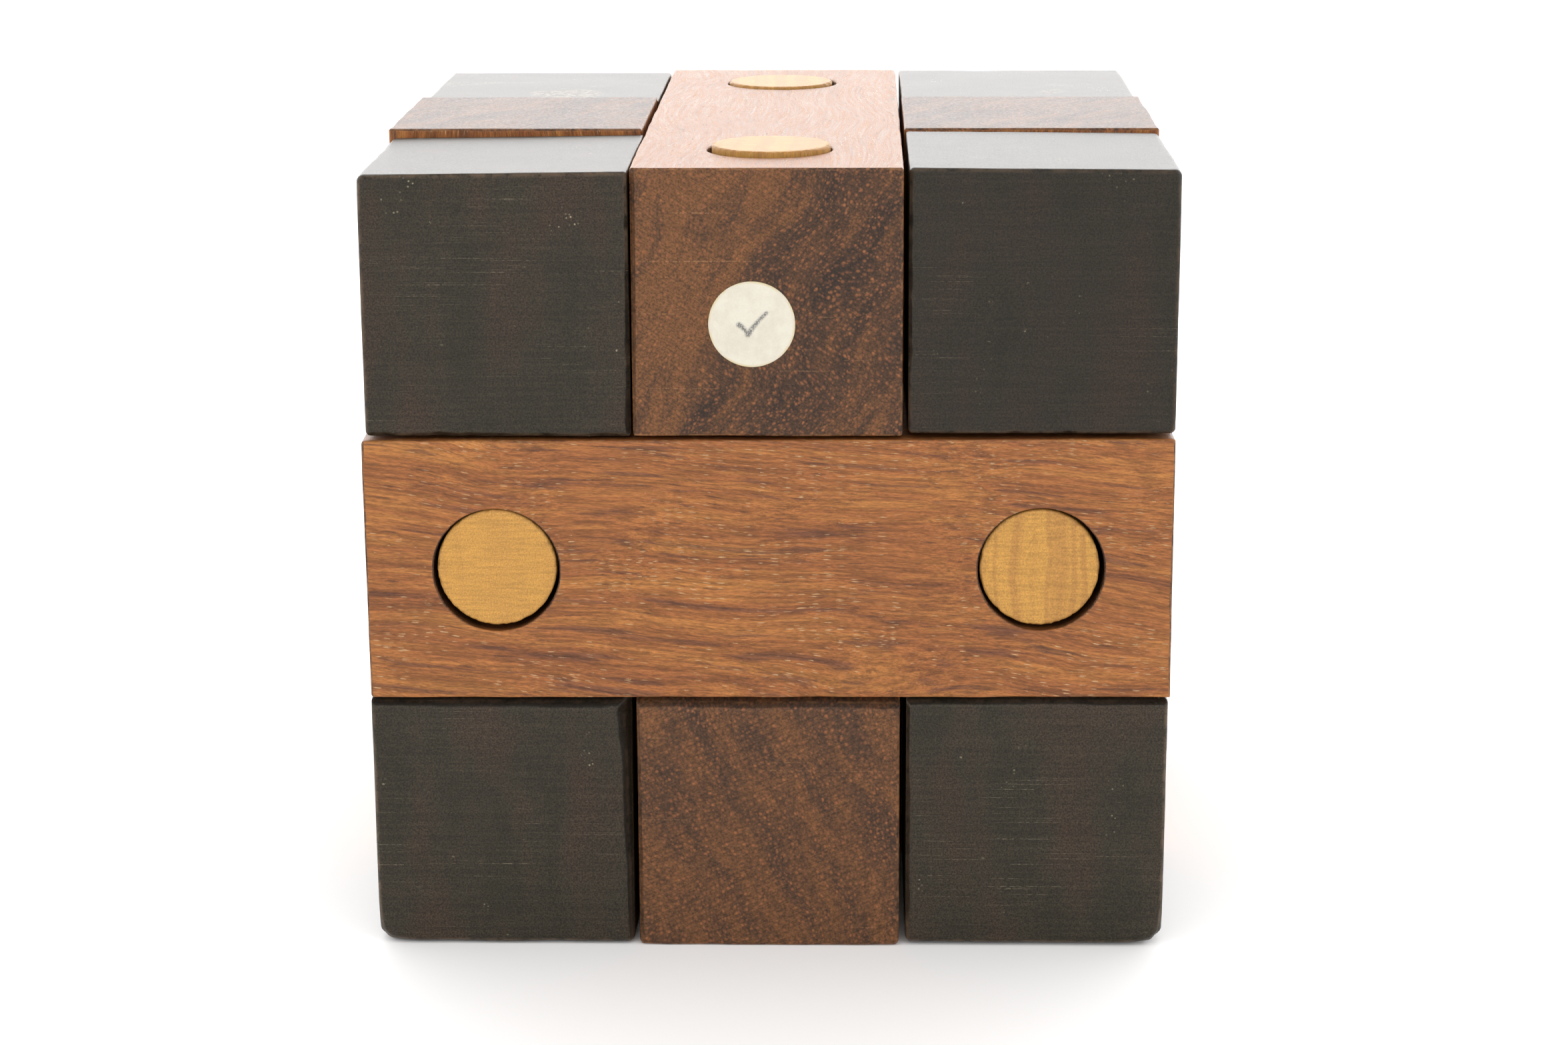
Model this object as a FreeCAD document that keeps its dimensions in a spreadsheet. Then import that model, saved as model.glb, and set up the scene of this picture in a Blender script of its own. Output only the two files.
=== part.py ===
# A take-apart wooden puzzle cube, three cells on a side.
#
# Six square bars cross in three directions, two of them one above the other in each direction:
# the front and back bars run left to right, the top and bottom bars front to back, and the left
# and right bars upright. Every bar has a bore through each end and a crosswise bore through its
# middle. Six round pins slide through those bores. Each pin goes through the end of one bar, the
# middle of a second and the end of a third, so the pins lock the bars together. Eight corner
# blocks fill the corners of the cube, and the cell in its centre is empty. A small round paper
# label is stuck on the front end of the top bar.
#
# Frame: millimetres, +X to the right, +Y to the back, +Z up. The origin is the centre of the
# footprint, on the surface that the cube stands on.
import FreeCAD, Part
import os

import Sketcher

Vector = FreeCAD.Vector
Rotation = FreeCAD.Rotation

SHEET = "Dimensions"

# The driving dimensions, in millimetres, and one angle in degrees.
DIMENSIONS = {
    "bar_length": 75.3,
    "bar_width": 24.9,
    "bar_ease": 0.3,
    "cell_pitch": 25.2,
    "end_bore_offset": 25.4,
    "bore_diameter": 11.8,
    "block_size": 24.65,
    "block_round": 0.8,
    "block_ease": 0.45,
    "pin_diameter": 11.2,
    "pin_ease": 0.25,
    "level_pin_length": 75.0,
    "upright_front_pin_length": 75.65,
    "upright_back_pin_length": 75.4,
    "pin_offset": 25.3,
    "label_diameter": 8.0,
    "label_thickness": 0.1,
    "label_left_of_middle": 1.4,
    "label_below_middle": 1.9,
    "front_bar_tilt": 0.2,
}

# The six bars: the cell that each one's middle lies in, and the axis that it runs along.
BARS = {
    "front_bar": ((0, -1, 0), "X"),
    "back_bar": ((0, 1, 0), "X"),
    "top_bar": ((0, 0, 1), "Y"),
    "bottom_bar": ((0, 0, -1), "Y"),
    "left_bar": ((-1, 0, 0), "Z"),
    "right_bar": ((1, 0, 0), "Z"),
}

# The eight corner blocks, each by the corner cell that it fills.
BLOCKS = {
    f"corner_block_{depth}_{level}_{side}": (x, y, z)
    for depth, y in (("front", -1), ("back", 1))
    for level, z in (("top", 1), ("bottom", -1))
    for side, x in (("left", -1), ("right", 1))
}

# The six pins: the cell that each one's middle lies in, its axis, and its length in the sheet.
PINS = {
    "left_long_pin": ((-1, 0, 0), "Y", "level_pin_length"),
    "right_long_pin": ((1, 0, 0), "Y", "level_pin_length"),
    "top_cross_pin": ((0, 0, 1), "X", "level_pin_length"),
    "bottom_cross_pin": ((0, 0, -1), "X", "level_pin_length"),
    "front_upright_pin": ((0, -1, 0), "Z", "upright_front_pin_length"),
    "back_upright_pin": ((0, 1, 0), "Z", "upright_back_pin_length"),
}

# How far each hand-fitted piece sits from the middle of its cell, in millimetres. The bars are
# narrower than a cell and the pins thinner than their bores, so every piece has a little play.
SHIFTS = {
    "front_bar": (0.05, 0.0, -0.2),
    "back_bar": (-0.05, 0.0, -0.1),
    "top_bar": (0.05, 0.0, -0.15),
    "bottom_bar": (-0.05, 0.0, 0.0),
    "left_bar": (-0.05, -0.1, 0.0),
    "right_bar": (0.1, 0.1, 0.0),
    "corner_block_front_top_left": (0.3, 0.05, -0.4),
    "corner_block_front_top_right": (0.1, 0.0, -0.05),
    "corner_block_front_bottom_left": (-0.1, 0.0, 0.08),
    "corner_block_front_bottom_right": (0.1, 0.05, 0.15),
    "corner_block_back_top_left": (0.2, -0.1, -0.3),
    "corner_block_back_top_right": (0.0, 0.0, -0.1),
    "corner_block_back_bottom_left": (-0.05, 0.0, 0.1),
    "corner_block_back_bottom_right": (0.05, -0.05, 0.05),
    "left_long_pin": (0.0, 0.0, -0.03),
    "right_long_pin": (0.0, 0.12, 0.05),
    "top_cross_pin": (0.1, 0.0, -0.05),
    "bottom_cross_pin": (-0.1, 0.0, 0.05),
    "front_upright_pin": (0.2, -0.05, 0.0),
    "back_upright_pin": (-0.1, 0.05, 0.0),
}

# Turns that carry a piece made along its own X axis onto the row's X, Y or Z. About the cube's
# body diagonal they keep the order of the axes, so a bar's end bores and middle bore follow.
TURNS = {
    "X": Rotation(),
    "Y": Rotation(Vector(1, 1, 1), 120),
    "Z": Rotation(Vector(1, 1, 1), 240),
}


def fill_sheet(doc):
    """Write every driving dimension and every piece's shift into the sheet, each with an alias."""
    sheet = doc.addObject("Spreadsheet::Sheet", SHEET)
    cells = dict(DIMENSIONS)
    for name, shift in SHIFTS.items():
        for letter, value in zip("xyz", shift):
            cells[f"{name}_shift_{letter}"] = value
    for row, (alias, value) in enumerate(cells.items(), start=1):
        sheet.set(f"A{row}", alias)
        sheet.set(f"B{row}", str(value))
        sheet.setAlias(f"B{row}", alias)
    doc.recompute()
    return sheet


def origin_plane(body, role):
    """The plane of a body's own origin that has the given role, such as XY_Plane."""
    return next(f for f in body.Origin.OriginFeatures if f.Role == role)


def add_sketch(body, name, role):
    """An empty sketch on one of the body's origin planes."""
    sketch = body.newObject("Sketcher::SketchObject", name)
    sketch.AttachmentSupport = [(origin_plane(body, role), "")]
    sketch.MapMode = "FlatFace"
    return sketch


def constrain(sketch, kind, *where, name=None, formula=None):
    """Add one constraint and, where it has a name, bind it to a formula of the sheet's cells."""
    sketch.addConstraint(Sketcher.Constraint(kind, *where))
    if name:
        sketch.renameConstraint(sketch.ConstraintCount - 1, name)
        sketch.setExpression(f"Constraints.{name}", formula)


def square_sketch(body, name, role, side_alias):
    """A square about the origin whose side is a cell of the sheet."""
    sketch = add_sketch(body, name, role)
    half = DIMENSIONS[side_alias] / 2
    corners = [Vector(sx * half, sy * half, 0) for sx, sy in ((-1, -1), (1, -1), (1, 1), (-1, 1))]
    for start, end in zip(corners, corners[1:] + corners[:1]):
        sketch.addGeometry(Part.LineSegment(start, end))
    for line in range(4):
        constrain(sketch, "Coincident", line, 2, (line + 1) % 4, 1)
        constrain(sketch, "Vertical" if line % 2 else "Horizontal", line)
    constrain(sketch, "Symmetric", 0, 1, 2, 1, -1, 1)
    formula = f"{SHEET}.{side_alias}"
    constrain(sketch, "DistanceX", 0, 1, 0, 2, half * 2, name="width", formula=formula)
    constrain(sketch, "DistanceY", 1, 1, 1, 2, half * 2, name="height", formula=formula)
    return sketch


def circle_sketch(body, name, role, diameter_alias, offsets=(0,)):
    """Circles along the sketch's X axis, at the given multiples of the end bores' offset."""
    sketch = add_sketch(body, name, role)
    diameter = DIMENSIONS[diameter_alias]
    reach = DIMENSIONS["end_bore_offset"]
    for index, side in enumerate(offsets):
        centre = Vector(side * reach, 0, 0)
        sketch.addGeometry(Part.Circle(centre, Vector(0, 0, 1), diameter / 2))
        constrain(sketch, "Diameter", index, diameter, name=f"diameter_{index}",
                  formula=f"{SHEET}.{diameter_alias}")
        if side == 0:
            constrain(sketch, "Coincident", index, 3, -1, 1)
            continue
        constrain(sketch, "PointOnObject", index, 3, -1)
        ends = (index, 3, -1, 1) if side < 0 else (-1, 1, index, 3)
        constrain(sketch, "DistanceX", *ends, reach, name=f"reach_{index}",
                  formula=f"{SHEET}.end_bore_offset")
    return sketch


def pad(body, sketch, name, length_alias):
    """Pad a sketch both ways from its plane, to a total length that is a cell of the sheet."""
    feature = body.newObject("PartDesign::Pad", name)
    feature.Profile = sketch
    feature.SideType = "Symmetric"
    feature.setExpression("Length", f"{SHEET}.{length_alias}")
    body.Document.recompute()
    return feature


def bore(body, sketch, name):
    """Cut a sketch right through the body, and make sure that it took material away."""
    before = body.Shape.Volume
    feature = body.newObject("PartDesign::Pocket", name)
    feature.Profile = sketch
    feature.SideType = "Symmetric"
    feature.Type = "ThroughAll"
    body.Document.recompute()
    if body.Shape.Volume > before - 1:
        raise RuntimeError(f"{body.Label}: {name} cut nothing")
    return feature


def dress(body, kind, name, edges, size_alias):
    """Fillet or chamfer the named edges of the body's tip, to a size that is a cell of the sheet."""
    feature = body.newObject(f"PartDesign::{kind}", name)
    feature.Base = (body.Tip if body.Tip != feature else feature.BaseFeature, edges)
    feature.setExpression("Radius" if kind == "Fillet" else "Size", f"{SHEET}.{size_alias}")
    body.Document.recompute()
    return feature


def edges_on_planes(shape, planes_of_edge):
    """Names of the straight edges for which planes_of_edge, given the edge's box, is true."""
    names = []
    for number, edge in enumerate(shape.Edges, start=1):
        if edge.Degenerated or not isinstance(edge.Curve, Part.Line):
            continue
        if planes_of_edge(edge.BoundBox):
            names.append(f"Edge{number}")
    return names


def sides_met(box, halves, tolerance=1e-4):
    """The outer planes that a straight edge lies in, such as ['+X', '-Z'], of a centred box."""
    met = []
    spans = ((box.XMin, box.XMax), (box.YMin, box.YMax), (box.ZMin, box.ZMax))
    for letter, half, (low, high) in zip("XYZ", halves, spans):
        if high - low > tolerance:
            continue
        if abs(high - half) < tolerance:
            met.append("+" + letter)
        if abs(low + half) < tolerance:
            met.append("-" + letter)
    return met


def new_body(doc, label):
    body = doc.addObject("PartDesign::Body", label)
    body.Label = label
    return body


def place(body, cell, turn, pitch_alias="cell_pitch", height_formula=None):
    """Turn a body and bind its position to its cell's centre plus its own shift."""
    middle = f"({SHEET}.bar_width / 2 + {SHEET}.cell_pitch)"
    body.Placement = FreeCAD.Placement(Vector(), turn)
    for letter, steps in zip("xyz", cell):
        formula = f"{steps} * {SHEET}.{pitch_alias} + {SHEET}.{body.Label}_shift_{letter}"
        if letter == "z":
            formula = height_formula or f"{formula} + {middle}"
        body.setExpression(f"Placement.Base.{letter}", formula)


def make_bar(doc, label, cell, axis):
    """A square bar along its own X: end bores along its Y, and a bore along Z at its middle."""
    body = new_body(doc, label)
    pad(body, square_sketch(body, f"{label}_section", "YZ_Plane", "bar_width"),
        f"{label}_pad", "bar_length")
    halves = [DIMENSIONS[a] / 2 for a in ("bar_length", "bar_width", "bar_width")]
    outline = edges_on_planes(body.Shape, lambda box: len(sides_met(box, halves)) == 2)
    dress(body, "Chamfer", f"{label}_eased_edges", outline, "bar_ease")
    ends = circle_sketch(body, f"{label}_end_circles", "XZ_Plane", "bore_diameter", (-1, 1))
    bore(body, ends, f"{label}_end_bores")
    middle = circle_sketch(body, f"{label}_middle_circle", "XY_Plane", "bore_diameter")
    bore(body, middle, f"{label}_middle_bore")
    turn = TURNS[axis]
    if label == "front_bar":
        turn = Rotation(Vector(0, -1, 0), DIMENSIONS["front_bar_tilt"]).multiply(turn)
    upright = f"{SHEET}.bar_length / 2 + {SHEET}.{label}_shift_z"
    place(body, cell, turn, height_formula=upright if axis == "Z" else None)
    return body


def make_block(doc, label, cell):
    """A corner block whose own outer corner is towards +X, +Y and +Z.

    The three edges that meet there are rounded by use. The other edges of its three outer
    faces, beside the bars, are eased with a small chamfer.
    """
    body = new_body(doc, label)
    pad(body, square_sketch(body, f"{label}_section", "XY_Plane", "block_size"),
        f"{label}_pad", "block_size")
    halves = [DIMENSIONS["block_size"] / 2] * 3

    def outer_sides(box):
        return sum(side[0] == "+" for side in sides_met(box, halves))

    rounded = edges_on_planes(body.Shape, lambda box: outer_sides(box) == 2)
    dress(body, "Fillet", f"{label}_worn_edges", rounded, "block_round")
    half = halves[0]
    eased = edges_on_planes(
        body.Shape,
        lambda box: outer_sides(box) == 1 and len(sides_met(box, halves)) == 2
        and box.DiagonalLength > half,
    )
    dress(body, "Chamfer", f"{label}_eased_edges", eased, "block_ease")
    x, y, z = cell
    flip = Rotation() if z > 0 else Rotation(Vector(1, 0, 0), 180)
    quarter_turns = {(1, 1): 0, (-1, 1): 1, (-1, -1): 2, (1, -1): 3}[(x, y)]
    if z < 0:
        quarter_turns = {(1, -1): 0, (1, 1): 1, (-1, 1): 2, (-1, -1): 3}[(x, y)]
    spin = Rotation(Vector(0, 0, 1), 90 * quarter_turns)
    place(body, cell, spin.multiply(flip))
    return body


def make_pin(doc, label, cell, axis, length_alias):
    """A round pin along its own X, with a small chamfer round each end."""
    body = new_body(doc, label)
    pad(body, circle_sketch(body, f"{label}_section", "YZ_Plane", "pin_diameter"),
        f"{label}_pad", length_alias)
    rims = [f"Edge{number}" for number, edge in enumerate(body.Shape.Edges, start=1)
            if isinstance(edge.Curve, Part.Circle)]
    dress(body, "Chamfer", f"{label}_eased_ends", rims, "pin_ease")
    on_table = f"{SHEET}.{length_alias} / 2 + {SHEET}.{label}_shift_z"
    place(body, cell, TURNS[axis], "pin_offset", on_table if axis == "Z" else None)
    return body


def make_label(doc):
    """A paper disc on the front end of the top bar, a little below and left of its middle."""
    label = "paper_label"
    body = new_body(doc, label)
    sketch = circle_sketch(body, f"{label}_outline", "XZ_Plane", "label_diameter")
    pad(body, sketch, f"{label}_pad", "label_thickness")
    top_bar_height = f"{SHEET}.bar_width / 2 + 2 * {SHEET}.cell_pitch + {SHEET}.top_bar_shift_z"
    body.setExpression("Placement.Base.x",
                       f"{SHEET}.top_bar_shift_x - {SHEET}.label_left_of_middle")
    body.setExpression("Placement.Base.y",
                       f"-({SHEET}.bar_length + {SHEET}.label_thickness) / 2")
    body.setExpression("Placement.Base.z", f"{top_bar_height} - {SHEET}.label_below_middle")
    return body


def check(doc, bodies):
    """Stop if any object failed or any piece isn't one valid solid."""
    for item in doc.Objects:
        if "Invalid" in item.State or "Error" in item.State:
            raise RuntimeError(f"{item.Label} failed: {item.State}")
    for body in bodies:
        shape = body.Shape
        if shape.isNull() or not shape.isValid() or len(shape.Solids) != 1:
            raise RuntimeError(f"{body.Label} is not one valid solid")


def main():
    doc = FreeCAD.newDocument("PuzzleCube")
    fill_sheet(doc)
    bodies = [make_bar(doc, label, *facts) for label, facts in BARS.items()]
    bodies += [make_block(doc, label, cell) for label, cell in BLOCKS.items()]
    bodies += [make_pin(doc, label, *facts) for label, facts in PINS.items()]
    bodies.append(make_label(doc))
    doc.recompute()
    check(doc, bodies)
    os.makedirs("parts", exist_ok=True)
    for body in bodies:
        body.Shape.exportStep(os.path.join("parts", f"{body.Label}.step"))
        box = body.Shape.BoundBox
        low = tuple(round(v, 2) for v in (box.XMin, box.YMin, box.ZMin))
        high = tuple(round(v, 2) for v in (box.XMax, box.YMax, box.ZMax))
        print(f"{body.Label}: {low} to {high} mm, {body.Shape.Volume / 1000:.2f} cm3")


main()
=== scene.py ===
import math

import bpy
import numpy as np
from mathutils import Matrix, Vector


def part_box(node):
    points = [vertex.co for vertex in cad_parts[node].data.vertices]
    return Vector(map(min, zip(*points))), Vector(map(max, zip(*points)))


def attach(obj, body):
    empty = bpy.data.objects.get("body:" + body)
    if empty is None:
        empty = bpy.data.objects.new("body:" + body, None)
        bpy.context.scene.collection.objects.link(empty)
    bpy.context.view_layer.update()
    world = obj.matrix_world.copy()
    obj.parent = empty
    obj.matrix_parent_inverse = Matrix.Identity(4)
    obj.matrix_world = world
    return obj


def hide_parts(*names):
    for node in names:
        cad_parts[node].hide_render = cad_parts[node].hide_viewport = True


# A take-apart wooden puzzle cube. Each CAD node is replaced by a dense mesh of the same piece,
# with the small faults of hand work: worn edges, uneven chamfers, eased bore rims and dents.
# The meshes are made in millimetres about each piece's own middle and placed by the CAD boxes.
# Every wood is a solid material: it reads the piece's own coordinates, so that bands and pores
# run through the piece and come out as streaks on its sides and as dots on its ends.

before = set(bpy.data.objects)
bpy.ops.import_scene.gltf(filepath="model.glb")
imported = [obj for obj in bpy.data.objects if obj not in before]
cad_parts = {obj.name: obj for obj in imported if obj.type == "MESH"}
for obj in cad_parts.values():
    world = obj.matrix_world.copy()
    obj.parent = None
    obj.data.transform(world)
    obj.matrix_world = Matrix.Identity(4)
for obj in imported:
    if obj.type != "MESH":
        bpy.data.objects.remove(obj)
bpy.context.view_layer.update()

MM = 0.001
AXES = "xyz"

BARS = {
    "front_bar": "x", "back_bar": "x", "top_bar": "y",
    "bottom_bar": "y", "left_bar": "z", "right_bar": "z",
}
PINS = {
    "left_long_pin": "y", "right_long_pin": "y", "top_cross_pin": "x",
    "bottom_cross_pin": "x", "front_upright_pin": "z", "back_upright_pin": "z",
}
BLOCKS = [
    f"corner_block_{depth}_{level}_{side}"
    for depth in ("front", "back") for level in ("top", "bottom") for side in ("left", "right")
]

# Millimetres, and the front bar's tilt in degrees.
BAR_LENGTH = 75.3
BAR_WIDTH = 24.9
BLOCK_SIZE = 24.65
PIN_RADIUS = 5.6
FRONT_BAR_TILT = 0.2
END_BORE_OFFSET = 25.4
BORE_RADIUS = 5.9
# How far the rims of the bores, the pins and the label are eased, and how deep a pin's is torn.
BORE_EASE = 0.18
PIN_EASE = 0.22
LABEL_EASE = 0.035
PIN_TEAR = 0.06
# The usual rounding of an edge, and how deep its chips are.
BAR_ROUND, BAR_CHIP = 0.24, 0.05
BLOCK_ROUND, BLOCK_CHIP = 0.28, 0.07

# Edges of their own: the rounding's radius, then the chamfer at the edge's low and high ends.
BAR_EDGES = {
    "top_bar": {"-x-y": (0.3, 0.35, 0.55), "+x-y": (0.3, 0.1, 0.2), "-y-z": (0.3, 0.1, 0.2)},
    "bottom_bar": {"-y+z": (0.3, 0.95, 1.0), "-x-y": (0.35, 0.5, 0.35), "+x-y": (0.3, 0.2, 0.3),
                   "-y-z": (0.4, 0.1, 0.2)},
}
BLOCK_EDGES = {
    "corner_block_front_top_left": {"-x-y": (0.4, 0, 0), "-y+z": (0.35, 0.3, 0.2),
                                    "-x+z": (0.5, 0.3, 0), "+x-y": (0.35, 0.5, 0.3),
                                    "-y-z": (0.4, 0.4, 0.35)},
    "corner_block_front_top_right": {"+x-y": (0.4, 0, 0), "-y+z": (0.3, 0.1, 0.25),
                                     "+x+z": (0.5, 0.2, 0.3), "-x-y": (0.35, 0.3, 0.4),
                                     "-y-z": (0.35, 0.2, 0.25)},
    "corner_block_front_bottom_left": {"-y+z": (0.3, 0.9, 0.95), "+x-y": (0.3, 0.55, 1.25),
                                       "-x-z": (1.1, 0, 0), "-x-y": (0.5, 0.2, 0.1),
                                       "-y-z": (0.5, 0, 0)},
    "corner_block_front_bottom_right": {"-y+z": (0.3, 0.7, 0.6), "-x-y": (0.35, 0.5, 0.4),
                                        "+x-z": (1.0, 1.3, 1.2), "+x-y": (0.5, 0.2, 0.1),
                                        "-y-z": (0.5, 0, 0)},
}
# How far a side is pressed in, in millimetres, at the low and high ends of an axis.
BLOCK_LEANS = {
    "corner_block_front_top_left": [("+z", "x", 0.3, 0.0)],
    "corner_block_front_top_right": [("+z", "x", 0.0, 0.2)],
}
# How light a block's wood is.
BLOCK_TONES = {"corner_block_front_top_left": 0.88, "corner_block_front_top_right": 0.58}
# How each bar's grain runs and how strongly it shows. rosewood() says what the words mean.
BAR_LOOKS = {
    "top_bar": {"band_angle": 62, "saw_angle": -33, "heart": 0.0, "banding": 0.6, "figure": 0.3,
                "slope": 0.0, "tone": 1.03},
    "bottom_bar": {"band_angle": 116, "saw_angle": 24, "banding": 0.36, "tone": 1.05},
    "left_bar": {"banding": 0.5, "slope": 0.0},
    "right_bar": {"banding": 0.5, "slope": 0.0},
}

# How strongly a pin's growth bands show.
PIN_BANDING = {"left_long_pin": 0.15, "right_long_pin": 0.8}

# The meshes' grids: fine lines within a margin of each edge, and a coarser step elsewhere.
MARGIN = 1.9
MARGIN_LINES = 11
GRID_STEP = 1.0
RIM_RINGS = 7
PIN_SIDES = 144
LABEL_SIDES = 180

# The first piece of each kind has this seed for its wear, and the next ones count up from it.
BAR_SEED, BLOCK_SEED, PIN_SEED = 11, 31, 51

# The pencil tick on the label, left to right, and its width, from the label's middle.
TICK = ((-1.15, -0.05), (-0.35, -0.95), (1.35, 1.05))
TICK_WIDTH = 0.27

# The stage: the floor's half width in metres, the world's brightness and what is added to it.
FLOOR_REACH = 6.0
FLOOR_COLOR = (0.92, 0.915, 0.91, 1)
EVEN_LIGHT, BACK_LIGHT, OVERHEAD_LIGHT = 1.90, 2.5, -0.8

# The camera: millimetres, and degrees down, to the right and anticlockwise.
CAMERA_PLACE = (8.4, -328.4, 118.2)
CAMERA_PITCH, CAMERA_YAW, CAMERA_ROLL = 14.67, -1.352, -0.232
LENS, SENSOR_WIDTH = 74.35, 36


# ---------------------------------------------------------------- meshes

class Skin:
    """Collects faces by their corners, and welds the corners that coincide."""

    def __init__(self):
        self.points = []
        self.faces = []
        self.known = {}

    def vertex(self, point):
        key = (round(point[0], 4), round(point[1], 4), round(point[2], 4))
        if key not in self.known:
            self.known[key] = len(self.points)
            self.points.append(point)
        return self.known[key]

    def face(self, *corners):
        self.faces.append([self.vertex(corner) for corner in corners])

    def strip(self, first, second):
        """Quads between two closed rings of points."""
        first = [self.vertex(point) for point in first]
        second = [self.vertex(point) for point in second]
        for i in range(len(first)):
            j = (i + 1) % len(first)
            self.faces.append([first[i], first[j], second[j], second[i]])


def evenly(low, high, step):
    count = max(1, round((high - low) / step))
    return [low + (high - low) * i / count for i in range(count + 1)]


def grid_lines(half, breaks=()):
    """Places of the grid lines across a face: close together near its edges."""
    margin = [MARGIN * (i / MARGIN_LINES) ** 1.35 for i in range(MARGIN_LINES)]
    stops = [MARGIN - half, *breaks, half - MARGIN]
    middle = stops[:1]
    for low, high in zip(stops, stops[1:]):
        middle += evenly(low, high, GRID_STEP)[1:]
    return [m - half for m in margin] + middle + [half - m for m in reversed(margin)]


def on_face(axis, height, u, v):
    """The point at (u, v) on a face whose normal is the given axis number."""
    point = [height, height, height]
    point[(axis + 1) % 3] = u
    point[(axis + 2) % 3] = v
    return tuple(point)


def ring_of(cell, lines_u, lines_v):
    """The grid points round a rectangular cell of a face, in order."""
    (u0, u1), (v0, v1) = cell
    us = [u for u in lines_u if u0 - 1e-6 <= u <= u1 + 1e-6]
    vs = [v for v in lines_v if v0 - 1e-6 <= v <= v1 + 1e-6]
    return ([(u, vs[0]) for u in us[:-1]] + [(us[-1], v) for v in vs[:-1]]
            + [(u, vs[-1]) for u in reversed(us[1:])] + [(us[0], v) for v in reversed(vs[1:])])


def add_hole(skin, axis, sign, half, centre, ring):
    """Rings from a cell's border in to a bore, over its eased rim and down to mid-depth."""
    centre = Vector(centre)
    around = [(Vector(p), (Vector(p) - centre).normalized()) for p in ring]
    rings = []
    for i in range(RIM_RINGS + 1):
        share = (i / RIM_RINGS) ** 0.7
        rings.append((half, [p.lerp(centre + d * (BORE_RADIUS + BORE_EASE), share)
                             for p, d in around]))
    for i in range(1, 5):
        angle = i / 4 * math.pi / 2
        out = BORE_RADIUS + BORE_EASE * (1 - math.sin(angle))
        depth = half - BORE_EASE * (1 - math.cos(angle))
        rings.append((depth, [centre + d * out for _, d in around]))
    for depth in reversed(evenly(0, half - BORE_EASE, 1.8)[:-1]):
        rings.append((depth, [centre + d * BORE_RADIUS for _, d in around]))
    rings = [[on_face(axis, sign * h, *p) for p in ring][::sign] for h, ring in rings]
    for first, second in zip(rings, rings[1:]):
        skin.strip(first, second)


def box_skin(halves, breaks=((), (), ()), holes=()):
    """The six faces of a box about the origin. holes: (axis, centre, cell) of each bore."""
    skin = Skin()
    lines = [grid_lines(half, b) for half, b in zip(halves, breaks)]
    for axis in range(3):
        lines_u, lines_v = lines[(axis + 1) % 3], lines[(axis + 2) % 3]
        mine = [(centre, cell) for own_axis, centre, cell in holes if own_axis == axis]
        for sign in (-1, 1):
            for u0, u1 in zip(lines_u, lines_u[1:]):
                for v0, v1 in zip(lines_v, lines_v[1:]):
                    u, v = (u0 + u1) / 2, (v0 + v1) / 2
                    if any(c[0][0] < u < c[0][1] and c[1][0] < v < c[1][1] for _, c in mine):
                        continue
                    corners = [(u0, v0), (u1, v0), (u1, v1), (u0, v1)][::sign]
                    skin.face(*(on_face(axis, sign * halves[axis], *c) for c in corners))
            for centre, cell in mine:
                ring = ring_of(cell, lines_u, lines_v)
                add_hole(skin, axis, sign, halves[axis], centre, ring)
    return skin


def bar_shape(axis):
    """Half sizes and bores of a bar along an axis: two end bores and one across its middle."""
    a = AXES.index(axis)
    halves = [BAR_WIDTH / 2] * 3
    halves[a] = BAR_LENGTH / 2
    split = END_BORE_OFFSET / 2
    across = (MARGIN - BAR_WIDTH / 2, BAR_WIDTH / 2 - MARGIN)
    holes = [((a + 2) % 3, (0, 0), ((-split, split), across))]
    for side in (-1, 1):
        along = tuple(sorted((side * split, side * (BAR_LENGTH / 2 - MARGIN))))
        holes.append(((a + 1) % 3, (0, side * END_BORE_OFFSET), (across, along)))
    breaks = [()] * 3
    breaks[a] = (-split, split)
    return halves, breaks, holes


def waver(places, seed, pitch):
    """Smooth noise, mostly from -1 to 1, as waves that cross at random, about a pitch apart."""
    pick = np.random.default_rng(seed)
    total = np.zeros(len(places))
    for _ in range(8):
        way = pick.normal(size=3)
        way *= 2 * math.pi * pick.uniform(0.6, 1.6) / (pitch * np.linalg.norm(way))
        total += np.sin(places @ way + pick.uniform(0, 2 * math.pi))
    return total / 3


def edges_of_box():
    """The twelve edges: two axes with the signs of their sides, and a name such as +x-z."""
    for a, b in ((0, 1), (0, 2), (1, 2)):
        for sa in (-1, 1):
            for sb in (-1, 1):
                names = [("+" if sign > 0 else "-") + AXES[k] for k, sign in ((a, sa), (b, sb))]
                yield a, sa, b, sb, "".join(names)


def cut_along(along, half, low, high, chip, seed):
    """How much is cut off an edge along its length: a tapered chamfer, wavering and dented."""
    pick = np.random.default_rng(seed)
    line = np.stack([along, 0 * along, 0 * along], 1)
    cut = low + (high - low) * (along + half) / (2 * half)
    cut *= 1 + 0.06 * waver(line, seed + 1, 9.0) + 0.04 * waver(line, seed + 2, 2.0)
    cut += chip * (0.4 + 0.5 * waver(line, seed + 3, 5.0) + 0.4 * waver(line, seed + 4, 1.6))
    for _ in range(int(half / 1.8)):
        at, width = pick.uniform(-half, half), pick.uniform(0.2, 0.7)
        depth = 2.6 * chip * pick.random() ** 2
        cut += depth * np.exp(-(((along - at) / width) ** 2))
    return cut


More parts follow.
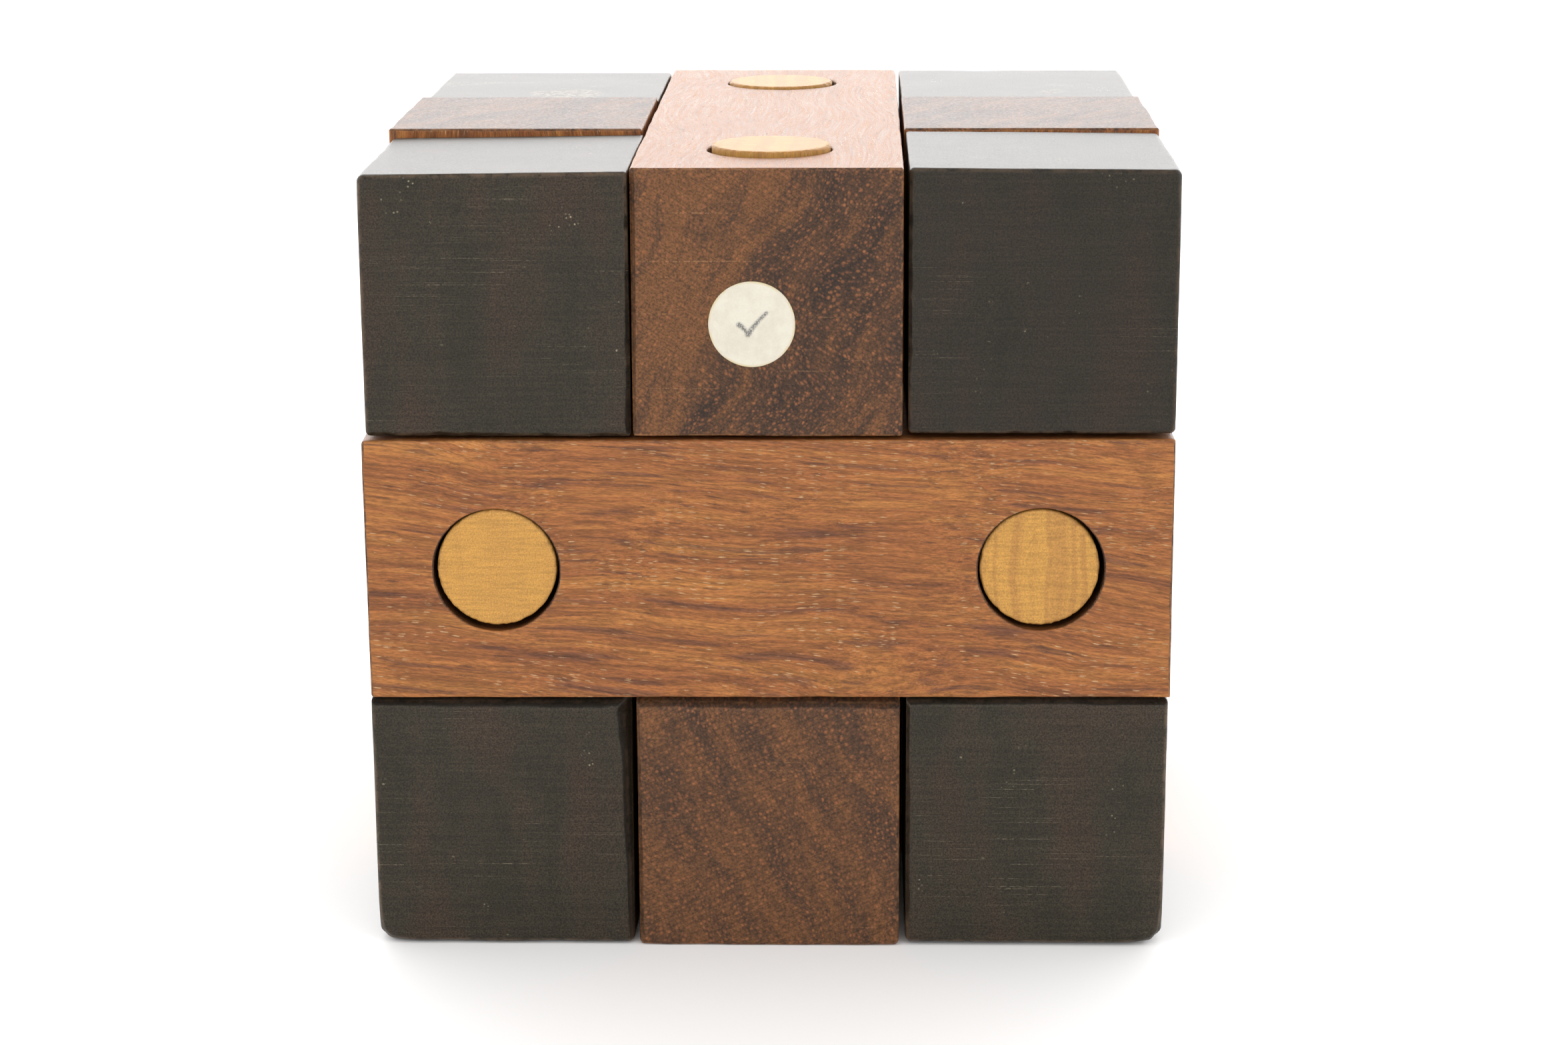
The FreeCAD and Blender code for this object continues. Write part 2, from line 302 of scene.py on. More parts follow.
def wear_box(skin, halves, seed, radius, chip, edges, lean):
    """Round, chamfer, dent and tilt a box.

    Returns its points, their distance from an edge, and where a chamfer has pared it (0 to 1).

    edges: {"+x-z": (radius, cut at the low end, cut at the high end)} for edges of their own.
    lean: (side, axis, low, high), how far a side is pressed in at the two ends of an axis.
    """
    start = np.array(skin.points)
    halves = np.array(halves)
    gaps = halves - np.abs(start)
    outside = gaps.min(1) < 1e-6
    edge = np.where(outside, np.sort(gaps, 1)[:, 1], MARGIN)
    size = radius * (1 + 0.35 * waver(start, seed, 7.0))
    cuts = []
    for number, (a, sa, b, sb, name) in enumerate(edges_of_box()):
        gap = np.hypot(halves[a] - sa * start[:, a], halves[b] - sb * start[:, b])
        own_radius, low, high = edges.get(name, (radius, 0.0, 0.0))
        size += (own_radius - radius) * np.exp(-((gap / 2.2) ** 2))
        c = 3 - a - b
        cut = cut_along(start[:, c], halves[c], low, high, chip, seed * 100 + number)
        cuts.append((a, sa, b, sb, np.where(outside, cut, 0)))
    limit = np.maximum(halves - size[:, None], 0)
    kept = np.clip(start, -limit, limit)
    away = start - kept
    length = np.linalg.norm(away, axis=1)
    rounded = outside & (length > 1e-9)
    points = start.copy()
    stretch = size / np.maximum(length, 1e-9)
    points[rounded] = kept[rounded] + away[rounded] * stretch[rounded, None]
    pared = np.zeros(len(start))
    for a, sa, b, sb, cut in cuts:
        over = sa * points[:, a] + sb * points[:, b] - (halves[a] + halves[b] - cut)
        over = np.where(outside, np.maximum(over, 0), 0)
        points[:, a] -= sa * over / 2
        points[:, b] -= sb * over / 2
        pared = np.maximum(pared, over)
    dip = 0.010 * (1 + waver(start, seed + 11, 14.0)) + 0.004 * (1 + waver(start, seed + 5, 2.5))
    nearby = np.clip(1 - gaps / 0.4, 0, 1)
    points -= np.sign(start) * nearby * np.maximum(dip, 0)[:, None]
    for side, axis, low, high in lean:
        a, c, sign = AXES.index(side[1]), AXES.index(axis), 1 if side[0] == "+" else -1
        share = (points[:, c] + halves[c]) / (2 * halves[c])
        height = (sign * points[:, a] + halves[a]) / (2 * halves[a])
        points[:, a] -= sign * (low + (high - low) * share) * height
    return points, edge, np.minimum(pared / 0.25, 1)


def rim_values(skin, halves, holes):
    """How far each point lies from a bore's rim: outside it on the face, or less than 0 inside."""
    places = np.array(skin.points)
    values = np.full(len(places), MARGIN)
    for axis, centre, _ in holes:
        out = np.hypot(places[:, (axis + 1) % 3] - centre[0], places[:, (axis + 2) % 3] - centre[1])
        out -= BORE_RADIUS
        depth = halves[axis] - np.abs(places[:, axis])
        inside = out < 0.01
        values[inside] = np.minimum(values[inside], -depth[inside])
        beside = ~inside & (depth < BORE_EASE)
        values[beside] = np.minimum(values[beside], out[beside])
    return values


def add_mesh(name, points, faces, values, body, node, material):
    """A smooth mesh in metres with its values as attributes, standing for a CAD node."""
    mesh = bpy.data.meshes.new(name)
    mesh.from_pydata((np.asarray(points) * MM).tolist(), [], faces)
    for label, numbers in values.items():
        layer = mesh.attributes.new(label, "FLOAT", "POINT")
        layer.data.foreach_set("value", np.asarray(numbers, np.float32))
    mesh.polygons.foreach_set("use_smooth", [True] * len(mesh.polygons))
    mesh.materials.append(material)
    piece = bpy.data.objects.new(name, mesh)
    bpy.context.scene.collection.objects.link(piece)
    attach(piece, body)
    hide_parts(node)


def cad_place(node):
    """The middle and half sizes of a CAD node's box, in millimetres."""
    low, high = (np.array(corner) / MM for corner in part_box(node))
    return (low + high) / 2, (high - low) / 2


def make_bar(node, axis, material, seed, edges):
    """A square bar with three bores, worn. The front one sits a little askew."""
    halves, breaks, holes = bar_shape(axis)
    skin = box_skin(halves, breaks, holes)
    points, edge, cut = wear_box(skin, halves, seed, BAR_ROUND, BAR_CHIP, edges, ())
    if node == "front_bar":
        tilt = Matrix.Rotation(-math.radians(FRONT_BAR_TILT), 3, "Y")
        points = points @ np.array(tilt).T
    values = {"edge": edge, "cut": cut, "rim": rim_values(skin, halves, holes)}
    points = points + cad_place(node)[0]
    add_mesh(node + "_wood", points, skin.faces, values, "cube", node, material)


def make_block(node, material, seed, edges, lean):
    """A corner block: a plain cube, worn, with a side or two out of square."""
    halves = [BLOCK_SIZE / 2] * 3
    skin = box_skin(halves)
    points, edge, cut = wear_box(skin, halves, seed, BLOCK_ROUND, BLOCK_CHIP, edges, lean)
    points = points + cad_place(node)[0]
    values = {"edge": edge, "cut": cut}
    add_mesh(node + "_wood", points, skin.faces, values, "cube", node, material)


def turned_skin(axis, stations, around):
    """A closed turned surface. stations: (radius, height) from the low centre to the high one."""
    side = AXES.index(axis)
    skin = Skin()
    turns = [2 * math.pi * i / around for i in range(around)]
    rings = [[on_face(side, height, radius * math.cos(t), radius * math.sin(t)) for t in turns]
             for radius, height in stations[1:-1]]
    for first, second in zip(rings, rings[1:]):
        skin.strip(first, second)
    for (_, height), ring, order in ((stations[0], rings[0], -1), (stations[-1], rings[-1], 1)):
        for i in range(around):
            skin.face(on_face(side, height, 0, 0), *(ring[i], ring[(i + 1) % around])[::order])
    return skin


def rounded_stations(radius, half, rim, face_step, side_step, near):
    """Radius and height down one end face, over its rounded rim, along the side and back."""
    flat = radius - rim
    stations = [(r, 0.0) for r in evenly(0, flat - near, face_step)]
    stations += [(r, 0.0) for r in evenly(flat - near, flat, near / 5)[1:]]
    for i in range(1, 5):
        angle = i / 4 * math.pi / 2
        stations.append((radius - rim * (1 - math.sin(angle)), rim * (1 - math.cos(angle))))
    if half > rim + near:
        stations += [(radius, d) for d in evenly(rim, rim + near, near / 4)[1:]]
        stations += [(radius, d) for d in evenly(rim + near, half, side_step)[1:]]
    elif half > rim:
        stations += [(radius, half)]
    low = [(r, depth - half) for r, depth in stations]
    return low + [(r, -h) for r, h in reversed(low) if h < -1e-9]


def make_pin(node, axis, material, seed):
    """A round pin, not quite true, with worn and slightly torn rims."""
    middle, halves = cad_place(node)
    side = AXES.index(axis)
    half = halves[side]
    stations = rounded_stations(PIN_RADIUS, half, PIN_EASE, 0.5, 1.2, 0.5)
    skin = turned_skin(axis, stations, PIN_SIDES)
    points = np.array(skin.points)
    out = points.copy()
    out[:, side] = 0
    radius = np.linalg.norm(out, axis=1)
    depth = half - np.abs(points[:, side])
    edge = PIN_RADIUS - radius + depth
    torn = PIN_TEAR * np.exp(-((edge / 0.3) ** 2)) * np.maximum(0, 0.35 + waver(points, seed, 0.7))
    bow = 0.012 * np.maximum(0, 1 + waver(points, seed + 1, 16.0))
    points -= out * ((torn + bow) / PIN_RADIUS)[:, None]
    dip = torn + np.where(depth < 0.01, 0.005 * (1 + waver(points, seed + 2, 2.0)), 0)
    points[:, side] -= np.sign(points[:, side]) * np.maximum(dip, 0) * (depth < 2)
    values = {"edge": edge}
    add_mesh(node + "_wood", points + middle, skin.faces, values, node, node, material)


def tick_ink(places):
    """How much of a pencil tick covers each place of the label, from 0 to 1."""
    ink = np.zeros(len(places))
    for start, end in zip(TICK, TICK[1:]):
        start, step = np.array(start), np.subtract(end, start)
        along = np.clip((places - start) @ step / (step @ step), 0, 1)
        bend = np.stack([0 * along, 0.12 * np.sin(math.pi * along)], 1)
        gap = np.linalg.norm(places - start - along[:, None] * step - bend, axis=1)
        width = TICK_WIDTH * (1 - 0.35 * along)
        ink = np.maximum(ink, 1 - np.clip((gap - width * 0.5) / (width * 0.8), 0, 1))
    return ink


def make_label(node, material):
    """A paper disc that faces -y, with a pencil tick on it."""
    middle, halves = cad_place(node)
    radius, half = halves[0], halves[1]
    stations = rounded_stations(radius, half, LABEL_EASE, 0.09, 0.05, 0.3)
    skin = turned_skin("y", stations, LABEL_SIDES)
    points = np.array(skin.points)
    edge = radius - np.hypot(points[:, 0], points[:, 2])
    points[:, [0, 2]] *= 1 - 0.004 * np.maximum(0, 1 + waver(points, 3, 4.0))[:, None]
    ink = np.where(points[:, 1] < 0, tick_ink(points[:, [0, 2]]), 0)
    values = {"edge": edge, "ink": ink}
    add_mesh(node + "_disc", points + middle, skin.faces, values, "cube", node,
             material)


# ------------------------------------------------------------- materials

def srgb(red, green, blue):
    """A linear colour from 0 to 255 screen values."""
    def linear(value):
        value /= 255
        return value / 12.92 if value <= 0.04045 else ((value + 0.055) / 1.055) ** 2.4
    return (linear(red), linear(green), linear(blue), 1.0)


# Colours of the marks and patterns that the materials mix in.
VEIN = srgb(78, 49, 39)
PALE_STREAK = srgb(154, 102, 52)
OPEN_PORE = srgb(58, 36, 28)
FILLED_PORE = srgb(196, 160, 118)
VESSEL_DULL = srgb(108, 66, 42)
VESSEL_LARGE = srgb(138, 86, 52)
VESSEL_SMALL = srgb(122, 78, 48)
SCORE = srgb(150, 110, 76)
WORN_ROSEWOOD = srgb(150, 106, 68)
CALM_SIDE = srgb(137, 92, 57)
SCRATCH = srgb(136, 124, 104)
FLECK = srgb(158, 148, 122)
WORN_EBONY = srgb(104, 84, 66)
BOXWOOD_PALE = srgb(176, 129, 59)
BOXWOOD_DARK = srgb(158, 111, 53)
WORN_BOXWOOD = srgb(128, 88, 48)
PAPER_RIM = srgb(186, 168, 118)
PENCIL = srgb(84, 84, 86)


class Graph:
    """Builds one material's nodes. Every method takes numbers or sockets and returns a socket."""

    def __init__(self, name, roughness, specular):
        self.material = bpy.data.materials.new(name)
        self.material.use_nodes = True
        self.nodes = self.material.node_tree.nodes
        self.links = self.material.node_tree.links
        self.shader = self.nodes["Principled BSDF"]
        self.shader.inputs["Roughness"].default_value = roughness
        self.shader.inputs["Specular IOR Level"].default_value = specular

    def put(self, socket, value):
        if isinstance(value, bpy.types.NodeSocket):
            self.links.new(value, socket)
        elif value is not None:
            socket.default_value = value

    def math(self, operation, first, second=None):
        node = self.nodes.new("ShaderNodeMath")
        node.operation = operation
        self.put(node.inputs[0], first)
        self.put(node.inputs[1], second)
        return node.outputs[0]

    def vector(self, operation, first, second=None, scale=None):
        node = self.nodes.new("ShaderNodeVectorMath")
        node.operation = operation
        self.put(node.inputs[0], first)
        self.put(node.inputs[1], second)
        if scale is not None:
            self.put(node.inputs["Scale"], scale)
        return node.outputs["Value" if operation == "DOT_PRODUCT" else "Vector"]

    def combine(self, x, y, z):
        node = self.nodes.new("ShaderNodeCombineXYZ")
        for socket, value in zip(node.inputs, (x, y, z)):
            self.put(socket, value)
        return node.outputs[0]

    def separate(self, vector):
        node = self.nodes.new("ShaderNodeSeparateXYZ")
        self.put(node.inputs[0], vector)
        return node.outputs[0], node.outputs[1], node.outputs[2]

    def attribute(self, name):
        node = self.nodes.new("ShaderNodeAttribute")
        node.attribute_name = name
        return node.outputs["Fac"]

    def noise(self, vector, scale=1.0, detail=2.0, roughness=0.5, color=False):
        node = self.nodes.new("ShaderNodeTexNoise")
        self.put(node.inputs["Vector"], vector)
        self.put(node.inputs["Scale"], scale)
        self.put(node.inputs["Detail"], detail)
        self.put(node.inputs["Roughness"], roughness)
        return node.outputs["Color" if color else "Fac"]

    def cells(self, vector, scale=1.0, flat=False):
        """Distance from the nearest scattered point, and that point's own random numbers."""
        node = self.nodes.new("ShaderNodeTexVoronoi")
        node.voronoi_dimensions = "2D" if flat else "3D"
        self.put(node.inputs["Vector"], vector)
        self.put(node.inputs["Scale"], scale)
        return node.outputs["Distance"], self.separate(node.outputs["Color"])

    def span(self, value, low, high, to_low=0.0, to_high=1.0):
        """The value's place between low and high, smoothly eased and mapped to a new range."""
        node = self.nodes.new("ShaderNodeMapRange")
        node.interpolation_type = "SMOOTHSTEP"
        for label, number in (("Value", value), ("From Min", low), ("From Max", high),
                              ("To Min", to_low), ("To Max", to_high)):
            self.put(node.inputs[label], number)
        return node.outputs[0]

    def ramp(self, value, *stops):
        node = self.nodes.new("ShaderNodeValToRGB")
        self.put(node.inputs[0], value)
        elements = node.color_ramp.elements
        while len(elements) < len(stops):
            elements.new(0.5)
        for element, (place, color) in zip(elements, stops):
            element.position, element.color = place, color
        return node.outputs[0]

    def mix(self, share, first, second):
        node = self.nodes.new("ShaderNodeMix")
        node.data_type = "RGBA"
        self.put(node.inputs["Factor"], share)
        self.put(node.inputs[6], first)
        self.put(node.inputs[7], second)
        return node.outputs[2]

    def brighten(self, color, factor):
        return self.vector("SCALE", color, scale=factor)

    def bump(self, height, distance):
        """A bump as high as the given share of a distance in millimetres."""
        node = self.nodes.new("ShaderNodeBump")
        self.put(node.inputs["Height"], height)
        node.inputs["Distance"].default_value = distance * MM
        return node.outputs[0]

    def product(self, *factors):
        result = factors[0]
        for factor in factors[1:]:
            result = self.math("MULTIPLY", result, factor)
        return result

    def grain_place(self, middle, axis):
        """The place in the piece, in millimetres from its middle: first along its grain, then
        across it, in the row's order. Also how squarely the surface faces along the grain."""
        coordinates = self.nodes.new("ShaderNodeTexCoord")
        local = self.vector("SUBTRACT", coordinates.outputs["Object"], tuple(middle * MM))
        parts = self.separate(self.vector("SCALE", local, scale=1 / MM))
        facing = self.separate(coordinates.outputs["Normal"])
        a = AXES.index(axis)
        order = [a] + [i for i in range(3) if i != a]
        return [parts[i] for i in order], self.math("ABSOLUTE", facing[a])


def rosewood(node, axis, seed, band_angle=60, saw_angle=-30, slope=0.08, heart=None,
             banding=1.0, figure=1.0, tone=1.0):
    """Red-brown wood: fibres, dark veins and short pale pores along it, dots on its end grain.

    band_angle, saw_angle: how the end's growth bands and saw marks run, in degrees.
    slope: how far the sides' grain falls for each millimetre along the bar.
    heart: where the dark heartwood begins, in millimetres across the bands.
    banding: how strongly the end's growth bands show, from 0 to 1.
    figure: how strongly the sides' veins and streaks show, from 0 to 1.
    """
    g = Graph(f"rosewood_{node}", 0.5, 0.25)
    (x, y, z), facing_end = g.grain_place(cad_place(node)[0], axis)
    far = seed * 31.7
    place = g.combine(g.math("ADD", x, far), y, z)
    slow = g.vector("MULTIPLY", place, (0.030, 0.05, 0.05))
    drift = g.vector("SUBTRACT", g.noise(slow, 1.0, 1.0, 0.4, color=True), (0.5, 0.5, 0.5))
    quick = g.vector("MULTIPLY", place, (0.14, 0.40, 0.40))
    ripple = g.vector("SUBTRACT", g.noise(quick, 1.0, 2.0, 0.5, color=True), (0.5, 0.5, 0.5))
    warped = g.vector("ADD", place, g.vector("MULTIPLY", drift, (0, 8.0, 8.0)))
    warped = g.vector("ADD", warped, g.vector("MULTIPLY", ripple, (0, 0.7, 0.7)))
    slant = g.math("ADD", g.separate(warped)[2], g.math("MULTIPLY", x, slope))
    warped = g.combine(g.separate(warped)[0], g.separate(warped)[1], slant)

    # Sides: soft streaks, darker veins, fine fibres and pores, all drawn out along the grain.
    streaks = g.noise(g.vector("MULTIPLY", warped, (0.035, 0.55, 0.55)), 1.0, 4.0, 0.55)
    veins = g.noise(g.vector("MULTIPLY", warped, (0.045, 1.4, 1.4)), 1.0, 3.0, 0.5)
    hairs = g.noise(g.vector("MULTIPLY", warped, (0.12, 4.0, 4.0)), 1.0, 4.0, 0.62)
    fibres = g.noise(g.vector("MULTIPLY", warped, (1.3, 13.0, 13.0)), 1.0, 2.0, 0.7)
    side = g.ramp(streaks, (0.30, srgb(117, 70, 39)), (0.50, srgb(132, 81, 43)),
                  (0.70, srgb(146, 95, 48)))
    side = g.mix(figure, CALM_SIDE, side)
    side = g.mix(g.span(veins, 0.55, 0.68, 0.0, 0.62 * figure), side, VEIN)
    side = g.mix(g.span(veins, 0.45, 0.30, 0.0, 0.45 * figure), side, PALE_STREAK)
    lively = 0.5 + 0.5 * figure
    side = g.brighten(side, g.span(hairs, 0.33, 0.67, 1 - 0.30 * lively, 1 + 0.30 * lively))
    side = g.brighten(side, g.span(fibres, 0.30, 0.70, 0.72, 1.32))
    torn = g.math("MULTIPLY", g.noise(g.vector("MULTIPLY", place, (4.0, 8.0, 8.0)), 1.0, 2.0, 0.7),
                  0.55)
    crowd = g.span(g.noise(g.vector("MULTIPLY", place, (0.09, 0.22, 0.22)), 1.0, 2.0), 0.40, 0.62,
                   0.98, 0.60)
    gap, luck = g.cells(g.vector("MULTIPLY", warped, (0.8, 7.0, 7.0)))
    pale = g.product(g.span(g.math("ADD", gap, torn), 0.70, 0.44),
                     g.math("GREATER_THAN", luck[0], crowd), g.span(luck[1], 0.0, 1.0, 0.3, 1.0))
    gap, luck = g.cells(g.vector("MULTIPLY", warped, (0.30, 3.0, 3.0)))
    dark = g.product(g.span(g.math("ADD", gap, torn), 0.66, 0.40),
                     g.math("GREATER_THAN", luck[0], 0.93))
    side = g.mix(g.math("MULTIPLY", dark, 0.6), side, OPEN_PORE)
    side = g.mix(g.math("MULTIPLY", pale, 0.8), side, FILLED_PORE)

    # Ends: ragged dark bands, crowded blurred vessel dots, and fine saw marks.
    across = g.combine(y, z, far)
    specks = g.noise(across, 4.5, 3.0, 0.75)
    angle = math.radians(band_angle)
    over = g.vector("DOT_PRODUCT", across, (math.sin(angle), -math.cos(angle), 0))
    over = g.math("ADD", over, g.math("MULTIPLY", g.noise(across, 0.09, 1.0, 0.5), 5.0))
    along = g.vector("DOT_PRODUCT", across, (math.cos(angle), math.sin(angle), 0))
    banded = g.combine(g.math("MULTIPLY", over, 0.42), g.math("MULTIPLY", along, 0.10), far)
    bands = g.noise(banded, 1.0, 4.0, 0.62)
    clumps = g.noise(g.combine(g.math("MULTIPLY", over, 1.1), g.math("MULTIPLY", along, 0.4), far),
                     1.0, 3.0, 0.65)
    level = g.math("ADD", bands, g.math("MULTIPLY", clumps, 0.25))
    level = g.math("ADD", level, g.math("MULTIPLY", specks, 0.16))
    level = g.math("ADD", g.math("MULTIPLY", level, banding), 0.72 * (1 - banding))
    if heart is not None:
        level = g.math("SUBTRACT", level, g.span(over, heart - 0.9, heart + 0.9, -0.06, 0.06))
    end = g.ramp(level, (0.55, srgb(42, 29, 21)), (0.67, srgb(62, 41, 26)),
                 (0.79, srgb(92, 59, 32)))
    end = g.brighten(end, g.span(specks, 0.36, 0.64, 0.62, 1.44))
    rows = g.combine(over, g.math("MULTIPLY", along, 0.85), 0.0)
    for scale, size, strength, shade in ((1.75, 0.22, 0.85, VESSEL_LARGE),
                                         (2.60, 0.21, 0.75, VESSEL_SMALL)):
        gap, chance = g.cells(g.vector("ADD", rows, (scale * seed, 0, 0)), scale, flat=True)
        blurred = g.math("ADD", gap, g.math("MULTIPLY", specks, 0.55))
        crowded = g.span(clumps, 0.34, 0.54, 0.4 * strength, strength)
        dots = g.product(g.span(blurred, size + 0.40, size + 0.10),
                         g.span(chance[1], 0.0, 0.6), crowded)
        end = g.mix(dots, end, g.mix(chance[0], VESSEL_DULL, shade))
    turn = math.radians(saw_angle)
    stroke = g.vector("DOT_PRODUCT", across, (math.cos(turn), math.sin(turn), 0))
    pitch = g.vector("DOT_PRODUCT", across, (-math.sin(turn), math.cos(turn), 0))
    saw = g.combine(g.math("MULTIPLY", stroke, 0.35), g.math("MULTIPLY", pitch, 7.0), far)
    marks = g.noise(saw, 1.0, 2.0, 0.6)
    end = g.brighten(end, g.span(marks, 0.3, 0.7, 0.82, 1.20))
    score = g.noise(g.combine(g.math("MULTIPLY", y, 0.07), g.math("MULTIPLY", z, 5.0), far),
                    1.0, 1.0, 0.5)
    end = g.mix(g.product(g.span(score, 0.70, 0.78), g.span(specks, 0.4, 0.6), 0.5), end,
                SCORE)

    is_end = g.span(facing_end, 0.15, 0.40)
    color = g.mix(is_end, side, end)

    # Worn edges are a little paler in places. Chamfers, bore rims and bore walls are darkened:
    # painted shade for recesses that the light hardly reaches.
    edge = g.attribute("edge")
    wear = g.noise(place, 0.9, 3.0, 0.6)
    worn = g.math("MULTIPLY", g.span(edge, 0.30, 0.05), g.span(wear, 0.44, 0.60))
    color = g.mix(g.math("MULTIPLY", worn, 0.4), color, WORN_ROSEWOOD)
    rim = g.attribute("rim")
    # Painted shade: the eased bore rims and the bore walls are darkened, down to half inside the
    # bore.
    color = g.brighten(color, g.span(rim, -0.4, 0.08, 0.5 * tone, tone))
    # Painted shade: chamfered strips are darkened to 0.45, as if shaded by the piece beside them.
    color = g.brighten(color, g.span(g.attribute("cut"), 0.3, 1.0, 1.0, 0.45))

    g.put(g.shader.inputs["Base Color"], color)
    g.put(g.shader.inputs["Roughness"], g.span(hairs, 0.2, 0.8, 0.40, 0.54))
    relief = g.math("SUBTRACT", g.math("MULTIPLY", g.mix(is_end, hairs, marks), 0.4), pale)
    g.put(g.shader.inputs["Normal"], g.bump(relief, 0.03))
    return g.material


def ebony(node, seed, tone):
    """Near-black wood with faint red-brown figure, fine scratches and pale flecks."""
    g = Graph(f"ebony_{node}", 0.45, 0.28)
    g.shader.inputs["Specular Tint"].default_value = (1.0, 0.95, 0.89, 1)
    (x, y, z), _ = g.grain_place(cad_place(node)[0], "x")
    far = seed * 23.9
    place = g.combine(g.math("ADD", x, far), y, z)
    figure = g.noise(g.vector("MULTIPLY", place, (0.20, 0.20, 0.08)), 1.0, 4.0, 0.6)
    color = g.ramp(figure, (0.36, srgb(34, 31, 22)), (0.50, srgb(40, 34, 25)),
                   (0.66, srgb(46, 35, 26)))
    dust = g.noise(place, 6.0, 3.0, 0.8)
    color = g.brighten(color, g.span(dust, 0.36, 0.64, 0.35, 1.85))
    sanded = g.noise(g.vector("MULTIPLY", place, (0.12, 0.12, 5.0)), 1.0, 3.0, 0.7)
    color = g.brighten(color, g.span(sanded, 0.36, 0.64, 0.85, 1.18))
    lines = g.noise(g.vector("MULTIPLY", place, (0.09, 0.09, 11.0)), 1.0, 1.0, 0.5)
    broken = g.noise(g.vector("MULTIPLY", place, (2.2, 2.2, 5.0)), 1.0, 3.0, 0.7)
    patches = g.noise(g.vector("MULTIPLY", place, (0.07, 0.07, 0.14)), 1.0, 2.0, 0.5)
    scratches = g.product(g.span(lines, 0.62, 0.74), g.span(broken, 0.40, 0.66),
                          g.span(patches, 0.46, 0.66))
    color = g.mix(g.math("MULTIPLY", scratches, 0.75), color, SCRATCH)
    flecks = 0.0
    for scale, limit, rarity in ((0.36, 0.17, 0.55), (0.9, 0.15, 0.80)):
        gap, luck = g.cells(g.vector("ADD", place, (scale, 0, 0)), scale)
        shape = g.math("ADD", gap, g.math("MULTIPLY", g.noise(place, 3.4, 3.0, 0.75), 0.30))
        spot = g.product(g.span(shape, limit + 0.03, limit - 0.03),
                         g.math("GREATER_THAN", luck[0], rarity))
        flecks = g.math("MAXIMUM", flecks, spot)
    gap, luck = g.cells(place, 2.8)
    crowds = g.span(g.noise(place, 0.22, 2.0, 0.5), 0.63, 0.72)
    ragged = g.math("ADD", gap, g.math("MULTIPLY", dust, 0.45))
    dots = g.product(g.span(ragged, 0.56, 0.36), g.span(luck[0], 0.45, 0.95), crowds)
    scuffs = g.noise(g.combine(g.math("ADD", g.math("MULTIPLY", x, 0.5), z), y,
                               g.math("SUBTRACT", z, g.math("MULTIPLY", x, 0.35))), 0.9, 3.0, 0.7)
    scuffs = g.product(g.span(scuffs, 0.70, 0.78), broken, 0.8)
    flecks = g.math("MAXIMUM", g.math("MAXIMUM", flecks, dots), scuffs)
    color = g.mix(g.math("MULTIPLY", flecks, 0.7), color, FLECK)

    edge = g.attribute("edge")
    wear = g.noise(place, 0.8, 3.0, 0.65)
    worn = g.math("MULTIPLY", g.span(edge, 0.5, 0.08), g.span(wear, 0.36, 0.62))
    color = g.mix(g.math("MULTIPLY", worn, 0.5), color, WORN_EBONY)

    # Painted shade: chamfered strips are darkened to 0.3 of the block's tone, as if in the shadow
    # of the piece beside them.
    color = g.brighten(color, g.span(g.attribute("cut"), 0.3, 1.0, tone, 0.3 * tone))
    g.put(g.shader.inputs["Base Color"], color)
    g.put(g.shader.inputs["Roughness"], g.span(dust, 0.2, 0.8, 0.36, 0.50))
    relief = g.math("SUBTRACT", g.math("MULTIPLY", dust, 0.3), scratches)
    g.put(g.shader.inputs["Normal"], g.bump(relief, 0.02))
    return g.material


def boxwood(node, axis, seed, banding):
    """Golden wood, fine and even: growth bands, rays across them and a grainy end.

    banding: how strongly the growth bands show, from 0 to 1.
    """
    g = Graph(f"boxwood_{node}", 0.5, 0.35)
    (x, y, z), facing_end = g.grain_place(cad_place(node)[0], axis)
    far = seed * 19.3
    place = g.combine(g.math("ADD", x, far), y, z)
    grains = g.noise(g.vector("MULTIPLY", place, (0.5, 7.0, 7.0)), 1.0, 3.0, 0.75)
    rays = g.noise(g.vector("MULTIPLY", place, (0.3, 0.35, 5.5)), 1.0, 3.0, 0.7)
    sway = g.math("ADD", y, g.math("MULTIPLY", g.noise(place, 0.12, 1.0, 0.5), 1.6))
    bands = g.noise(g.combine(g.math("MULTIPLY", x, 0.01), g.math("MULTIPLY", sway, 0.8), far),
                    1.0, 2.0, 0.5)
    color = g.mix(g.span(bands, 0.58, 0.42, 0.0, banding), BOXWOOD_PALE, BOXWOOD_DARK)
    color = g.brighten(color, g.span(grains, 0.30, 0.70, 0.76, 1.24))
    color = g.brighten(color, g.span(rays, 0.32, 0.68, 0.86, 1.12))
    side = g.brighten(color, 0.95)
    color = g.mix(g.span(facing_end, 0.45, 0.8), side, color)
    edge = g.attribute("edge")
    worn = g.span(edge, 0.30, 0.05)
    color = g.mix(g.math("MULTIPLY", worn, 0.45), color, WORN_BOXWOOD)
    g.put(g.shader.inputs["Base Color"], color)
    g.put(g.shader.inputs["Roughness"], g.span(grains, 0.2, 0.8, 0.44, 0.56))
    g.put(g.shader.inputs["Normal"], g.bump(grains, 0.02))
    return g.material


